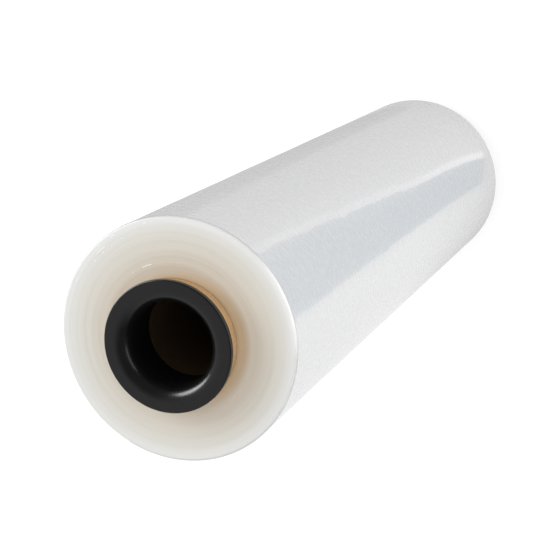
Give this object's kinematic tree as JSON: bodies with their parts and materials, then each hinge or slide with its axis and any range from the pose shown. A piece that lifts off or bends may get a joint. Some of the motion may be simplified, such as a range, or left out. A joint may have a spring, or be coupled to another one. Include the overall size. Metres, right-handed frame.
{
  "type": "stretch wrap roll",
  "caption": "Roll of clear stretch wrap film wound on a cardboard core that stands out at both ends, with a black moulded plug in each end of the core to take a dispenser's spindle.",
  "frame": {"origin": "middle of the lower plug's flange face, which the roll stands on, on the axis of the core", "axes": "+Z along the axis of the core, up from the face that the roll stands on"},
  "size_m": [0.1206, 0.1204, 0.4738],
  "materials": {
    "stretch_film": "clear cling film, milky in the thickness of the roll, glossy outside",
    "cardboard_core": "spiral-wound kraft board, matte",
    "plug_plastic": "black moulded plastic, satin"
  },
  "bodies": {
    "root": {"film_roll": "stretch_film", "core_tube": "cardboard_core", "core_plug_top": "plug_plastic", "core_plug_bottom": "plug_plastic"}
  },
  "joints": []
}
